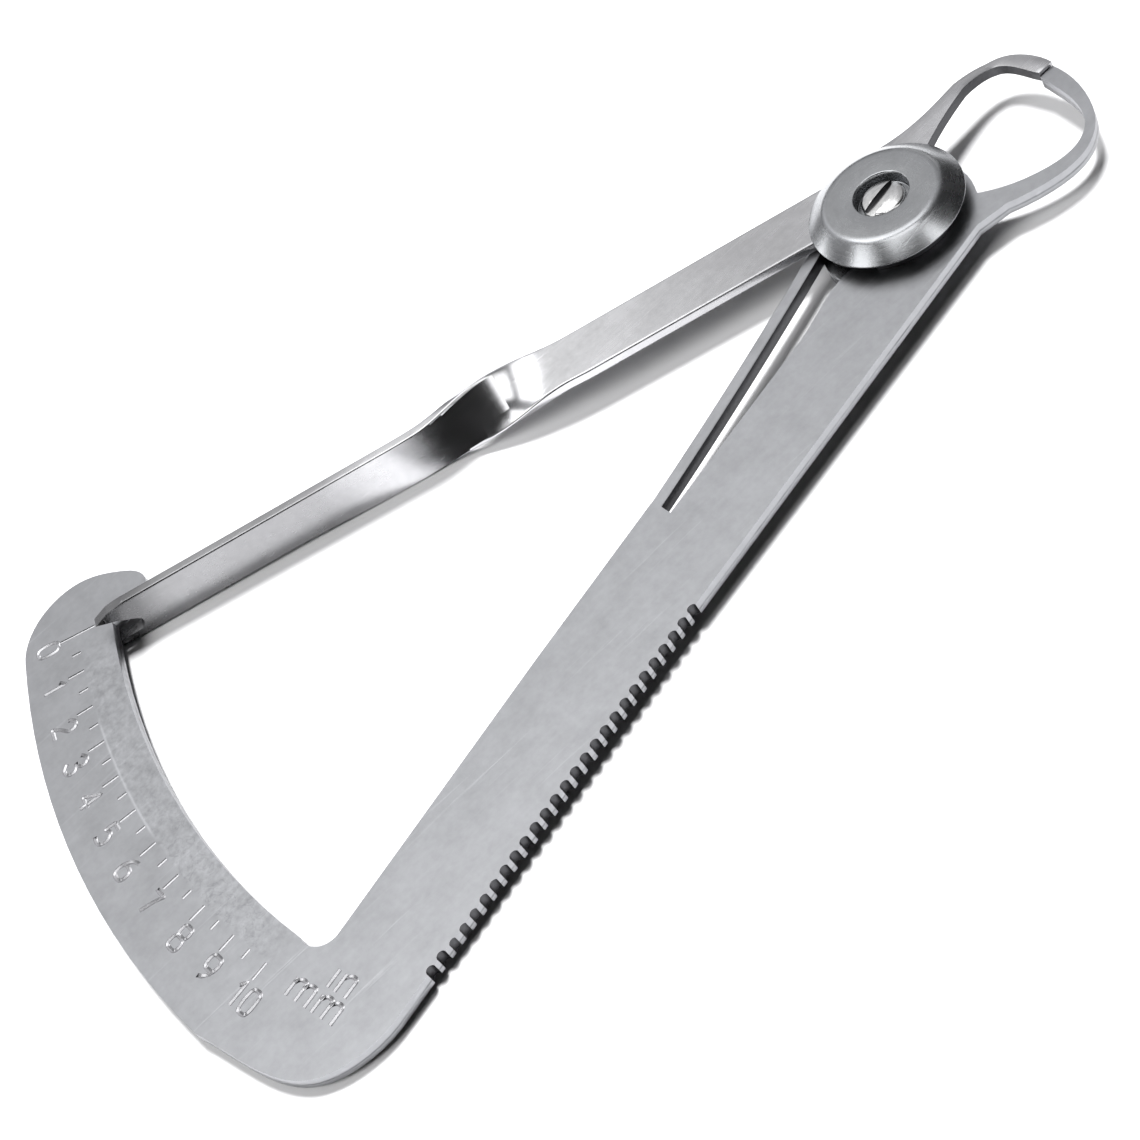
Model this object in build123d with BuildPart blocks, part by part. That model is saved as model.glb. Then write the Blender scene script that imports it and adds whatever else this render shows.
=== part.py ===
from build123d import *
import os
from math import cos, radians, sin

os.makedirs("parts", exist_ok=True)

# Wax caliper, millimetres. The pivot is the Z axis and the rear disc's bottom face is at z = 0.
# The closed jaw tips lie on +X and the two arms run towards -X.

# Stack of the pivot, from the bottom up
rear_disc_height = 1.70
plate_thickness = 1.20
pointer_thickness = 0.95
front_disc_height = 1.74
running_gap = 0.03

plate_bottom = rear_disc_height
plate_top = plate_bottom + plate_thickness
pointer_bottom = plate_top + running_gap
pointer_top = pointer_bottom + pointer_thickness
pointer_middle = (pointer_bottom + pointer_top) / 2
front_disc_bottom = pointer_top + running_gap
front_disc_top = front_disc_bottom + front_disc_height

# Discs, screw and bush
disc_radius = 6.62
front_flat_radius = 4.90
front_bevel_height = 1.33
rear_flat_radius = 6.00
rear_bevel_height = 0.45
screw_radius = 1.25
screw_head_radius = 2.05
screw_head_height = 0.80
screw_recess = 0.38
screw_slot_width = 0.85
screw_slot_depth = 0.50
screw_slot_angle = 10.0
head_hole_radius = 2.35
thread_floor = 0.35
sleeve_radius = 1.80
pointer_bore_radius = sleeve_radius + 0.04

# Jaws: the tips are flat and almost touch
tip_gap = 0.10
tip_inner_x = 17.15
tip_outer_x = 18.60

# Scale: the inner edge of the curved plate and the outer one, at their ends and middles
scale_outer_low = (-83.8, -12.4)
scale_outer_middle = (-84.13, 2.55)
scale_outer_high = (-76.4, 32.1)
scale_inner_high = (-68.45, 28.45)
scale_inner_middle = (-74.3, 4.2)
scale_inner_low = (-73.45, -12.6)

# Scale arm
arm_right_top = (3.0, -7.19)
arm_right_middle = (-34.87, -15.59)
arm_right_low = (-71.3, -24.3)
arm_left_low = (-71.0, -14.84)
arm_left_middle = (-46.3, -8.55)

# Serration along the lower half of the arm's right edge
notch_count = 27
notch_pitch = 1.28
notch_width = 0.62
notch_depth = 0.34

# Tongue: a slightly bowed strip with its root in the arm and its tip under the front disc
tongue_width = 1.10
tongue_root = (-30.95, -5.42)
tongue_middle = (-18.0, -1.31)
tongue_tip = (-4.75, 3.45)
root_clearance = 0.03
root_direction = (0.955, 0.297)
slot_end_low = (-30.72, -7.05)

# Pin that the tongue pushes on
pin_radius = 0.50
pin_place = (-5.67, 4.28)
pin_in_pointer = 0.50

# Pointer arm: a flat bar that turns on edge. Distances run outwards along its middle line.
arm_angle = 160.605
arm_direction = (cos(radians(arm_angle)), sin(radians(arm_angle)))
arm_offset = 3.40
pointer_hub_radius = 6.15
pointer_edge_bevel = 0.16
flat_start = 1.0
flat_start_width = 5.42
flat_end = 27.0
flat_end_width = 5.24
turn_start = 28.8
turn_end = 43.2
twist_end = 57.0
twist_step = 1.25
twist_width = 4.80
spread_width = 0.16
spread_drop = 0.22
twist_shift = 0.16
twist_rise = 0.06
strip_width = 4.50
strip_drop = 0.35
strip_end = 75.5
fork_start = 69.5
slot_play = 0.14
fork_slot_end = 71.4
fork_tip = 74.9
upper_lip_tip_height = 1.50
lower_lip_end = 74.4

# Crank of the pointer's jaw: it drops so that both tips meet
crank_start = 12.5
crank_end = 15.8
crank_drop = 0.62


# a point of the pointer arm: distance outwards, side away from the scale arm, height
def along(distance, side, height):
    return (
        arm_direction[0] * distance + arm_direction[1] * side,
        arm_direction[1] * distance - arm_direction[0] * side,
        height,
    )


# 0 before the start, 1 after the end and a smooth rise between them
def ease(value, start, end):
    share = min(max((value - start) / (end - start), 0), 1)
    return share * share * (3 - 2 * share)


# the plane across the pointer arm's bar, with its width along X
def bar_plane(distance):
    turn = 90 * ease(distance, turn_start, turn_end)
    hump = ease(distance, flat_end, 33) * (1 - ease(distance, 36, 43))
    shift = twist_shift * hump
    drop = strip_drop * ease(distance, 33, 46) - twist_rise * hump
    drop += spread_drop * ease(distance, 37, 45) * (1 - ease(distance, 46, twist_end))
    width_direction = (
        arm_direction[1] * cos(radians(turn)),
        -arm_direction[0] * cos(radians(turn)),
        sin(radians(turn)),
    )
    return Plane(
        origin=along(distance, arm_offset + shift, pointer_middle - drop),
        x_dir=width_direction,
        z_dir=(arm_direction[0], arm_direction[1], 0),
    )


# Scale lever: jaw, hub, arm and curved scale in one stamped plate
half_gap = tip_gap / 2
pocket_radius = tongue_width / 2 + root_clearance
root_normal = (-root_direction[1], root_direction[0])
pocket_top = (tongue_root[0] + pocket_radius * root_normal[0], tongue_root[1] + pocket_radius * root_normal[1])
pocket_back = (
    tongue_root[0] - pocket_radius * root_direction[0],
    tongue_root[1] - pocket_radius * root_direction[1],
)
pocket_low = (tongue_root[0] - pocket_radius * root_normal[0], tongue_root[1] - pocket_radius * root_normal[1])

with BuildPart() as scale_lever:
    with BuildSketch(Plane.XY.offset(plate_bottom)):
        with BuildLine():
            jaw_outer = Spline(
                (tip_outer_x, -half_gap),
                (18.45, -2.3),
                (17.5, -5.3),
                (15.85, -7.8),
                (13.2, -9.33),
                (10.3, -9.33),
                (5.9, -7.68),
            )
            Polyline(jaw_outer @ 1, arm_right_top, arm_right_middle, arm_right_low)
            Spline(arm_right_low, (-75.6, -24.55), (-79.4, -23.0), (-82.1, -18.3), scale_outer_low)
            ThreePointArc(scale_outer_low, scale_outer_middle, scale_outer_high)
            Spline(
                scale_outer_high,
                (-75.0, 34.0),
                (-72.2, 35.5),
                (-68.3, 35.3),
                (-65.1, 32.8),
                (-63.8, 30.3),
                (-64.4, 28.75),
                (-66.0, 28.45),
            )
            Line((-66.0, 28.45), scale_inner_high)
            ThreePointArc(scale_inner_high, scale_inner_middle, scale_inner_low)
            ThreePointArc(scale_inner_low, (-72.8, -14.5), arm_left_low)
            Polyline(arm_left_low, arm_left_middle, pocket_top)
            ThreePointArc(pocket_top, pocket_back, pocket_low)
            Polyline(pocket_low, slot_end_low, (-14.0, -3.35))
            Spline((-14.0, -3.35), (-10.6, -2.3), (-7.6, -1.35), (-6.2, -1.2))
            Line((-6.2, -1.2), (-2.75, -1.2))
            ThreePointArc((-2.75, -1.2), (-2.75, 1.2), (-1.5, 2.6))
            Line((-1.5, 2.6), (-2.6, 5.4))
            ThreePointArc((-2.6, 5.4), (5.1, 3.3), (5.4, -4.65))
            Spline(
                (5.4, -4.65),
                (7.4, -6.4),
                (10.0, -7.75),
                (12.7, -8.27),
                (14.9, -7.5),
                (16.3, -5.5),
                (16.95, -2.6),
                (tip_inner_x, -half_gap),
            )
            Line((tip_inner_x, -half_gap), (tip_outer_x, -half_gap))
        make_face()
        Circle(sleeve_radius, mode=Mode.SUBTRACT)
    extrude(amount=plate_thickness)
    # notches of the serration, square to the arm's right edge
    with BuildSketch(Plane.XY.offset(plate_bottom)):
        edge_run = Vector(*arm_right_low) - Vector(*arm_right_middle)
        edge_step = edge_run.normalized() * notch_pitch
        for i in range(notch_count):
            notch = Vector(*arm_right_middle) + edge_step * (i + 0.5)
            with Locations((notch.X, notch.Y)):
                Rectangle(
                    notch_width, 2 * notch_depth, rotation=edge_run.get_signed_angle(Vector(-1, 0, 0)) * -1
                )
    extrude(amount=plate_thickness, mode=Mode.SUBTRACT)
scale_lever.part.label = "scale_lever"

# Tongue, cut from the same sheet; its round root end sits in the plate's pocket
with BuildPart() as spring_tongue:
    with BuildSketch(Plane.XY.offset(plate_bottom)):
        with BuildLine(mode=Mode.PRIVATE):
            tongue_arc = ThreePointArc(tongue_root, tongue_middle, tongue_tip)
        SlotArc(tongue_arc, tongue_width)
    extrude(amount=plate_thickness)
spring_tongue.part.label = "spring_tongue"

# Pointer lever: cranked jaw, hub, flat arm, quarter twist, strip on edge and fork
with BuildPart() as pointer_lever:
    with BuildSketch(Plane.XY.offset(plate_bottom)):
        Circle(pointer_hub_radius)
        with BuildLine():
            outer = Spline(
                (3.6, 6.0),
                (6.2, 5.28),
                (9.3, 5.1),
                (12.1, 5.3),
                (15.3, 5.2),
                (17.0, 4.45),
                (18.35, 2.4),
                (tip_outer_x + 0.08, half_gap),
            )
            Line(outer @ 1, (tip_inner_x + 0.08, half_gap))
            inner = Spline(
                (tip_inner_x + 0.08, half_gap),
                (16.95, 1.4),
                (16.65, 2.8),
                (16.0, 3.95),
                (14.6, 4.38),
                (12.2, 4.08),
                (9.6, 3.35),
                (7.0, 2.36),
                (5.0, 1.3),
            )
            Line(inner @ 1, (3.6, 6.0))
        make_face()
    extrude(amount=pointer_top - plate_bottom)
    # side view of the sheet: level at the hub, cranked down at the jaw
    with BuildSketch(Plane.XZ):
        with BuildLine():
            Polyline(
                (-10, pointer_bottom),
                (crank_start, pointer_bottom),
                (crank_end, pointer_bottom - crank_drop),
                (25, pointer_bottom - crank_drop),
                (25, pointer_top - crank_drop),
                (crank_end, pointer_top - crank_drop),
                (crank_start, pointer_top),
                (-10, pointer_top),
                close=True,
            )
        make_face()
    extrude(amount=60, both=True, mode=Mode.INTERSECT)
    # flat bar from the hub to the start of the twist
    for distance, width in [(flat_start, flat_start_width), (flat_end, flat_end_width)]:
        with BuildSketch(bar_plane(distance)) as bar_section:
            Rectangle(width, pointer_thickness)
            chamfer(bar_section.vertices(), pointer_edge_bevel)
    loft()
    # quarter turn about the arm's middle line, the far edge rising
    twist_count = round((twist_end - flat_end) / twist_step)
    for i in range(twist_count + 1):
        distance = flat_end + (twist_end - flat_end) * i / twist_count
        narrowing = (flat_end_width - twist_width) * ease(distance, flat_end, 35)
        narrowing += (twist_width - strip_width) * ease(distance, 46, twist_end)
        narrowing -= spread_width * ease(distance, 37, 45) * (1 - ease(distance, 46, twist_end))
        with BuildSketch(bar_plane(distance)) as bar_section:
            Rectangle(flat_end_width - narrowing, pointer_thickness)
            chamfer(bar_section.vertices(), pointer_edge_bevel)
    loft()
    # strip on edge
    with BuildSketch(bar_plane(twist_end)) as bar_section:
        Rectangle(strip_width, pointer_thickness)
        chamfer(bar_section.vertices(), pointer_edge_bevel)
    extrude(amount=strip_end - twist_end)
    # fork cut in the strip's end, open at the tip, that the scale plate runs through
    strip_plane = Plane(
        origin=along(0, arm_offset, 0),
        x_dir=(arm_direction[0], arm_direction[1], 0),
        z_dir=(arm_direction[1], -arm_direction[0], 0),
    )
    strip_top = pointer_middle - strip_drop + strip_width / 2
    strip_low = pointer_middle - strip_drop - strip_width / 2
    slot_top = plate_top + slot_play
    slot_low = plate_bottom - slot_play
    with BuildSketch(strip_plane):
        with BuildLine():
            Polyline(
                (fork_start, strip_top + 1),
                (71.6, strip_top),
                (73.4, strip_top - 0.25),
                (fork_tip, plate_top + upper_lip_tip_height),
                (73.3, slot_top + 0.75),
                (fork_slot_end + 0.5, slot_top),
                (fork_slot_end, slot_top - 0.4),
                (fork_slot_end, slot_low + 0.4),
                (fork_slot_end + 0.5, slot_low),
                (lower_lip_end, slot_low),
                (lower_lip_end, strip_low + 0.25),
                (lower_lip_end - 0.4, strip_low),
                (lower_lip_end - 0.4, strip_low - 1),
                (strip_end + 1, strip_low - 1),
                (strip_end + 1, strip_top + 1),
                close=True,
            )
        make_face()
    extrude(amount=pointer_thickness, both=True, mode=Mode.SUBTRACT)
    # bore for the bush, and the blind hole that holds the pin
    with BuildSketch(Plane.XY.offset(plate_bottom)):
        Circle(pointer_bore_radius)
    extrude(amount=pointer_top - plate_bottom, mode=Mode.SUBTRACT)
    with BuildSketch(Plane.XY.offset(pointer_bottom)):
        with Locations(pin_place):
            Circle(pin_radius)
    extrude(amount=pin_in_pointer, mode=Mode.SUBTRACT)
pointer_lever.part.label = "pointer_lever"

# Pin
pin_bottom = plate_bottom + 0.05
with BuildPart() as spring_pin:
    with BuildSketch(Plane.XY.offset(pin_bottom)):
        with Locations(pin_place):
            Circle(pin_radius)
    extrude(amount=pointer_bottom + pin_in_pointer - pin_bottom)
spring_pin.part.label = "spring_pin"

# Front disc, with the recess for the screw's head
head_bottom = front_disc_top - screw_recess - screw_head_height
with BuildPart() as front_disc:
    with BuildSketch(Plane.XZ):
        with BuildLine():
            Polyline(
                (screw_radius, front_disc_bottom),
                (disc_radius, front_disc_bottom),
                (disc_radius, front_disc_top - front_bevel_height),
                (front_flat_radius, front_disc_top),
                (head_hole_radius, front_disc_top),
                (head_hole_radius, head_bottom),
                (screw_radius, head_bottom),
                close=True,
            )
        make_face()
    revolve(axis=Axis.Z)
front_disc.part.label = "front_disc"

# Rear disc, with a blind threaded hole
with BuildPart() as rear_disc:
    with BuildSketch(Plane.XZ):
        with BuildLine():
            Polyline(
                (0, 0),
                (rear_flat_radius, 0),
                (disc_radius, rear_bevel_height),
                (disc_radius, rear_disc_height),
                (screw_radius, rear_disc_height),
                (screw_radius, thread_floor),
                (0, thread_floor),
                close=True,
            )
        make_face()
    revolve(axis=Axis.Z)
rear_disc.part.label = "rear_disc"

# Bush that both levers sit on
with BuildPart() as pivot_sleeve:
    with BuildSketch(Plane.XY.offset(rear_disc_height)):
        Circle(sleeve_radius)
        Circle(screw_radius, mode=Mode.SUBTRACT)
    extrude(amount=front_disc_bottom - rear_disc_height)
pivot_sleeve.part.label = "pivot_sleeve"

# Screw with a slotted head
with BuildPart() as pivot_screw:
    with BuildSketch(Plane.XY.offset(thread_floor)):
        Circle(screw_radius)
    extrude(amount=head_bottom - thread_floor)
    with BuildSketch(Plane.XY.offset(head_bottom)):
        Circle(screw_head_radius)
    extrude(amount=screw_head_height)
    with BuildSketch(Plane.XY.offset(head_bottom + screw_head_height - screw_slot_depth)):
        Rectangle(3 * screw_head_radius, screw_slot_width, rotation=screw_slot_angle)
    extrude(amount=screw_slot_depth, mode=Mode.SUBTRACT)
pivot_screw.part.label = "pivot_screw"

pieces = [
    scale_lever, spring_tongue, pointer_lever, spring_pin, front_disc, rear_disc, pivot_sleeve, pivot_screw
]
for piece in pieces:
    export_step(piece.part, f"parts/{piece.part.label}.step")
    print(piece.part.label, len(piece.part.solids()), round(piece.part.volume, 2))
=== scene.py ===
from math import atan2, cos, hypot, pi, radians, sin

import bmesh
import bpy
from mathutils import Matrix, Vector
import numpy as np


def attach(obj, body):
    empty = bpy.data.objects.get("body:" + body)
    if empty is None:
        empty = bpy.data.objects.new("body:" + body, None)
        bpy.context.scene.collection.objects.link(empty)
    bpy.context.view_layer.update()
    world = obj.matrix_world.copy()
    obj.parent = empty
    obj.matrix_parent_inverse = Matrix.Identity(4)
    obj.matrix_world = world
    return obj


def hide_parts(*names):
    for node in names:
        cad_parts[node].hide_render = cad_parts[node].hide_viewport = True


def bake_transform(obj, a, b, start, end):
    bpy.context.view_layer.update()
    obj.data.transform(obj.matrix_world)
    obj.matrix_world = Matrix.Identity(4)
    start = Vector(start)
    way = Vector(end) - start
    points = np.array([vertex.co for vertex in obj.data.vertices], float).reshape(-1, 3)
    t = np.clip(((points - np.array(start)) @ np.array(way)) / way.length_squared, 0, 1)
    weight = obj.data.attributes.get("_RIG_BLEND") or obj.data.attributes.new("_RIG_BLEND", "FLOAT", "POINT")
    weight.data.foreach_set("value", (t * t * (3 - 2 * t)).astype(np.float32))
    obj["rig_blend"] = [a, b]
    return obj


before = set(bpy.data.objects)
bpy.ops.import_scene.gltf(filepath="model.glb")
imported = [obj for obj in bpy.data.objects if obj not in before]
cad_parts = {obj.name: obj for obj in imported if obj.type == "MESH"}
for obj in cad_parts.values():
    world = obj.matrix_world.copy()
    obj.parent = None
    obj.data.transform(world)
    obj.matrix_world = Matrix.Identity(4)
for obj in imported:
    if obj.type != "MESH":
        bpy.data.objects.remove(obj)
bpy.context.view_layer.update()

scene = bpy.context.scene
print("frame loaded:", len(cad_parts), "nodes")

# Wax caliper. Everything below is written in millimetres; mm and metres() turn it into metres.
mm = 0.001


def metres(*values):
    return tuple(v * mm for v in values)


# the camera stands at the photograph's angle
shot = {
    "place": (-62.012, -136.810, 142.911),
    "target": (-39.275, -4.152, 2.9),
    "roll": -36.239,
    "lens": 78.53,
}
cameraData = bpy.data.cameras.new("photoCamera")
cameraData.lens = shot["lens"]
cameraData.sensor_width = 36
cameraData.clip_start = 0.01
cameraData.clip_end = 20
camera = bpy.data.objects.new("photoCamera", cameraData)
scene.collection.objects.link(camera)
camera.location = metres(*shot["place"])
lookLine = Vector(shot["target"]) - Vector(shot["place"])
roll = Matrix.Rotation(radians(shot["roll"]), 4, "Z").to_quaternion()
camera.rotation_mode = "QUATERNION"
camera.rotation_quaternion = lookLine.to_track_quat("-Z", "Y") @ roll
scene.camera = camera

# floor, sky and lamps: lamps stand at an azimuth from +X and an elevation, in degrees
studio = {
    "floorSize": 6.0,
    "floorColour": (0.42, 0.42, 0.425, 1),
    "floorTilt": (-0.014, -0.009),  # the floor meets the rear disc and comes near the plate's far corner
    "floorDrop": 0.07,
    "backdrop": (1.0, 1.0, 1.0, 1),
    "brightSide": (0.056, 0.640, 0.766),
    "skySpan": (-1.0, 1.22),
    "skyRamp": [
        (0.0, 0.01), (0.58, 0.012), (0.68, 0.04), (0.76, 0.16), (0.82, 0.46), (0.87, 0.95), (0.92, 1.25),
    ],
    "floorLamps": {
        "high": {"from": (52, 69), "width": 15, "radiance": 1.12},
        "low": {"from": (178, 42), "width": 34, "radiance": 0.42},  # lightens the shadows
    },
    "lampDistance": 1,
    "windows": {
        "overhead": {"from": (84, 71), "size": (0.42, 0.25), "radiance": 2.0},
        "top": {"from": (-96, 75), "size": (0.34, 0.20), "radiance": 2.0},
        "side": {"from": (173, 45), "size": (0.20, 0.19), "radiance": 2.4},
        "low": {"from": (124, 12), "size": (0.18, 0.14), "radiance": 2.6},
        "front": {"from": (-58, 45), "size": (0.13, 0.19), "radiance": 2.1},
        "frontLow": {"from": (-69, 25), "size": (0.42, 0.36), "radiance": 0.75},
        "leftLow": {"from": (-173, 22), "size": (0.20, 0.34), "radiance": 0.8},
        "right": {"from": (40, 18), "size": (0.24, 0.18), "radiance": 0.4},
    },
    "windowDistance": 0.5,
}
scene.view_settings.view_transform = "Standard"

floorMesh = bpy.data.meshes.new("paleFloor")
half = studio["floorSize"] / 2
tiltX, tiltY = studio["floorTilt"]
floorCorners = [
    (x, y, x * tiltX + y * tiltY - studio["floorDrop"] * mm)
    for x, y in ((-half, -half), (half, -half), (half, half), (-half, half))
]
floorMesh.from_pydata(floorCorners, [], [(0, 1, 2, 3)])
floor = bpy.data.objects.new("paleFloor", floorMesh)
scene.collection.objects.link(floor)
floorPaint = bpy.data.materials.new("floorPaper")
floorPaint.use_nodes = True
floorShader = floorPaint.node_tree.nodes["Principled BSDF"]
floorShader.inputs["Base Color"].default_value = studio["floorColour"]
floorShader.inputs["Roughness"].default_value = 0.9
floorShader.inputs["Specular IOR Level"].default_value = 0.1
floorMesh.materials.append(floorPaint)


# Add a node: its settings by name, and what goes into its inputs, either values or the outputs of others.
def addNode(tree, kind, inputs=None, **settings):
    node = tree.nodes.new(kind)
    for key, value in settings.items():
        setattr(node, key, value)
    for key, value in (inputs or {}).items():
        if isinstance(value, bpy.types.NodeSocket):
            tree.links.new(value, node.inputs[key])
        else:
            node.inputs[key].default_value = value
    return node


world = bpy.data.worlds.new("studioSky")
scene.world = world
world.use_nodes = True
sky = world.node_tree
sky.nodes.clear()
skyWay = addNode(sky, "ShaderNodeTexCoord").outputs["Generated"]
skyDot = addNode(sky, "ShaderNodeVectorMath", {0: skyWay, 1: studio["brightSide"]}, operation="DOT_PRODUCT")
skyFrom, skyTo = studio["skySpan"]
skyInputs = {"Value": skyDot.outputs["Value"], "From Min": skyFrom, "From Max": skyTo}
skySpan = addNode(sky, "ShaderNodeMapRange", skyInputs)
skyRamp = addNode(sky, "ShaderNodeValToRGB", {"Fac": skySpan.outputs["Result"]})
skyRamp.color_ramp.interpolation = "B_SPLINE"
for i, (place, level) in enumerate(studio["skyRamp"]):
    stop = skyRamp.color_ramp.elements[i] if i < 2 else skyRamp.color_ramp.elements.new(place)
    stop.position = place
    stop.color = (level, level, level * 1.02, 1)
skyLight = addNode(sky, "ShaderNodeBackground", {"Color": skyRamp.outputs["Color"]})
skySeen = addNode(sky, "ShaderNodeBackground", {"Color": studio["backdrop"]})
skyPath = addNode(sky, "ShaderNodeLightPath").outputs["Is Camera Ray"]
skyMix = addNode(sky, "ShaderNodeMixShader", {"Fac": skyPath, 1: skyLight.outputs[0], 2: skySeen.outputs[0]})
addNode(sky, "ShaderNodeOutputWorld", {"Surface": skyMix.outputs["Shader"]})

aim = Vector(metres(*shot["target"]))


# A lamp that looks at the caliper and reaches the floor only, or everything but the floor.
def aimedLamp(name, data, look, distance, reach):
    azimuth, elevation = (radians(angle) for angle in look["from"])
    way = Vector((cos(azimuth) * cos(elevation), sin(azimuth) * cos(elevation), sin(elevation)))
    lamp = bpy.data.objects.new(name, data)
    scene.collection.objects.link(lamp)
    lamp.location = aim + way * distance
    lamp.rotation_mode = "QUATERNION"
    lamp.rotation_quaternion = (aim - lamp.location).to_track_quat("-Z", "Y")
    reached = bpy.data.collections.new(name + "Reach")
    reached.objects.link(floor)
    lamp.light_linking.receiver_collection = reached
    reached.collection_objects[0].light_linking.link_state = reach


for keyName, keyLook in studio["floorLamps"].items():
    keyData = bpy.data.lights.new(keyName + "Key", "SUN")
    keyData.angle = radians(keyLook["width"])
    keyData.energy = keyLook["radiance"] * pi / (studio["floorColour"][0] * sin(radians(keyLook["from"][1])))
    aimedLamp(keyName + "Key", keyData, keyLook, studio["lampDistance"], "INCLUDE")
for windowName, windowLook in studio["windows"].items():
    windowData = bpy.data.lights.new(windowName + "Window", "AREA")
    windowData.shape = "RECTANGLE"
    windowData.size, windowData.size_y = windowLook["size"]
    windowData.energy = windowLook["radiance"] * pi * windowData.size * windowData.size_y
    aimedLamp(windowName + "Window", windowData, windowLook, studio["windowDistance"], "EXCLUDE")
print("camera, floor and lamps set")

# what all steel finishes share
scratches = {"turn": 24, "length": 0.03, "scale": 2600, "rare": (0.66, 0.72)}
toneReach = (0.55, 1.45)  # the darkest and the lightest spots, as shares of the colour


# One recipe of ground steel: long grain, cloudy mottling and a few stray scratches.
def groundSteel(name, look):
    steel = bpy.data.materials.new(name)
    steel.use_nodes = True
    tree = steel.node_tree
    shader = tree.nodes["Principled BSDF"]
    shader.inputs["Metallic"].default_value = 1.0

    def noise(scale, detail, source, rough=0.5, bend=0.0):
        inputs = {"Scale": scale, "Detail": detail, "Roughness": rough, "Distortion": bend, "Vector": source}
        return addNode(tree, "ShaderNodeTexNoise", inputs).outputs["Fac"]

    def spread(value, low, high, toLow, toHigh):
        inputs = {"Value": value, "From Min": low, "From Max": high, "To Min": toLow, "To Max": toHigh}
        return addNode(tree, "ShaderNodeMapRange", inputs).outputs["Result"]

    def reckon(way, first, second=0.0):
        return addNode(tree, "ShaderNodeMath", {0: first, 1: second}, operation=way).outputs[0]

    def chain(way, values):
        result = values[0]
        for value in values[1:]:
            result = reckon(way, result, value)
        return result

    def product(*values):
        return chain("MULTIPLY", values)

    def total(*values):
        return chain("ADD", values)

    def swing(value, reach):
        return spread(value, 0.3, 0.7, -reach, reach)

    def between(value, low, high, soft):
        rise = spread(value, low - soft, low + soft, 0, 1)
        return product(rise, spread(value, high - soft, high + soft, 1, 0))

    def axes(vector):
        return addNode(tree, "ShaderNodeSeparateXYZ", {0: vector}).outputs

    def stretched(turn, length):
        inputs = {"Vector": place, "Rotation": (0, 0, -radians(turn)), "Scale": (length, 1, 1)}
        return addNode(tree, "ShaderNodeMapping", inputs).outputs["Vector"]

    def tinted(colour, other, share, **settings):
        inputs = {"A": colour, "B": other, "Factor": share}
        return addNode(tree, "ShaderNodeMix", inputs, data_type="RGBA", **settings).outputs["Result"]

    coordinates = addNode(tree, "ShaderNodeTexCoord")
    place = coordinates.outputs["Object"]
    x, y, z = axes(place)
    fromPivot = reckon("SQRT", total(product(x, x), product(y, y)))
    facingUp = axes(coordinates.outputs["Normal"])[2]
    if look.get("ringLength"):
        # rings about the pivot instead of straight grain
        rings = {0: product(reckon("ARCTAN2", y, x), look["ringLength"] * mm), 1: fromPivot, 2: z}
        source = addNode(tree, "ShaderNodeCombineXYZ", rings).outputs[0]
    else:
        source = stretched(look["grainAngle"], look["grainLength"])
    grain = noise(look["grainScale"], 4, source, 0.65)
    cloud = noise(look["cloudScale"], 5, place, 0.6)
    speck = noise(look["cloudScale"] * 5, 3, place, 0.6)
    scratchPlace = stretched(look["grainAngle"] + scratches["turn"], scratches["length"])
    scratch = spread(noise(scratches["scale"], 2, scratchPlace, 0.4), *scratches["rare"], 0, 1)

    tone = total(swing(cloud, look["mottle"]), swing(grain, look["grainTone"]),
                 swing(speck, look["mottle"] * 0.7), product(scratch, look["scratchTone"]))
    height = total(product(grain, 0.7), product(speck, 0.5), product(scratch, -0.8))
    if look.get("shear"):
        # stamped walls keep a thin dark line, which comes and goes, where the sheet broke off
        shear = look["shear"]
        upright = spread(reckon("ABSOLUTE", facingUp), 0.3, 0.5, 1, 0)
        away = reckon("ABSOLUTE", reckon("SUBTRACT", z, shear["height"] * mm))
        brokenLine = spread(away, shear["half"] * 0.4 * mm, shear["half"] * mm, shear["tone"], 0)
        tone = reckon("SUBTRACT", tone, product(upright, brokenLine, spread(cloud, 0.42, 0.62, 0.35, 1.0)))
    if look.get("worn"):
        # where the fork has rubbed the scale: a hazy band and fine scribbles, with a painted highlight along
        # the band's rim in one sector
        worn = look["worn"]
        turn = reckon("ARCTAN2", y, product(x, -1))

        def sector(name, soft):
            start, end = (radians(angle) for angle in worn[name])
            return between(turn, start, end, radians(soft))

        inner, rim = worn["inner"] * mm, worn["radius"] * mm
        band = product(between(fromPivot, inner, rim, 0.10 * mm), sector("band", 1.2))
        rimLine = between(fromPivot, rim - 0.08 * mm, rim + 0.10 * mm, 0.08 * mm)
        paintedHighlightLine = product(rimLine, sector("line", 0.6))
        scribble = reckon("ABSOLUTE", reckon("SUBTRACT", noise(620, 2, place, 0.5, 1.4), 0.5))
        contour = product(spread(scribble, 0.0, 0.03, 1, 0), sector("scribble", 2.5))
        haze = swing(noise(1500, 3, place, 0.7), worn["haze"])
        wornTone = total(haze, product(contour, -0.16), worn["lift"])
        tone = total(tone, product(band, wornTone), product(paintedHighlightLine, worn["paintedHighlight"]))
        height = total(height, product(band, total(contour, haze)))
    dark, light = ((*[min(1, c * reach) for c in look["colour"]], 1) for reach in toneReach)
    surface = tinted(dark, light, total(tone, 0.5), clamp_factor=True)
    if look.get("paintedShadeTop"):
        # painted shade: the flat top's colour is darkened against the turned bevel
        topShade = (*[look["paintedShadeTop"]] * 3, 1)
        surface = tinted(surface, topShade, spread(facingUp, 0.93, 0.99, 0, 1), blend_type="MULTIPLY")

    rough = spread(total(product(cloud, 0.6), product(grain, 0.4)), 0.35, 0.65, *look["rough"])
    if look.get("polishAndPaintedLight"):
        # a polished, smoother stretch along the pointer's arm; its colour carries a painted sheen that grows
        # toward the twist, and painted shade on the strip and at the fork's end
        polishAndPaintedLight = look["polishAndPaintedLight"]
        armLine = (cos(radians(polishAndPaintedLight["angle"])), sin(radians(polishAndPaintedLight["angle"])), 0)
        inputs = {0: place, 1: armLine}
        along = addNode(tree, "ShaderNodeVectorMath", inputs, operation="DOT_PRODUCT").outputs["Value"]

        def slope(start, end, low, high):
            return spread(along, start * mm, end * mm, low, high)

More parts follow.
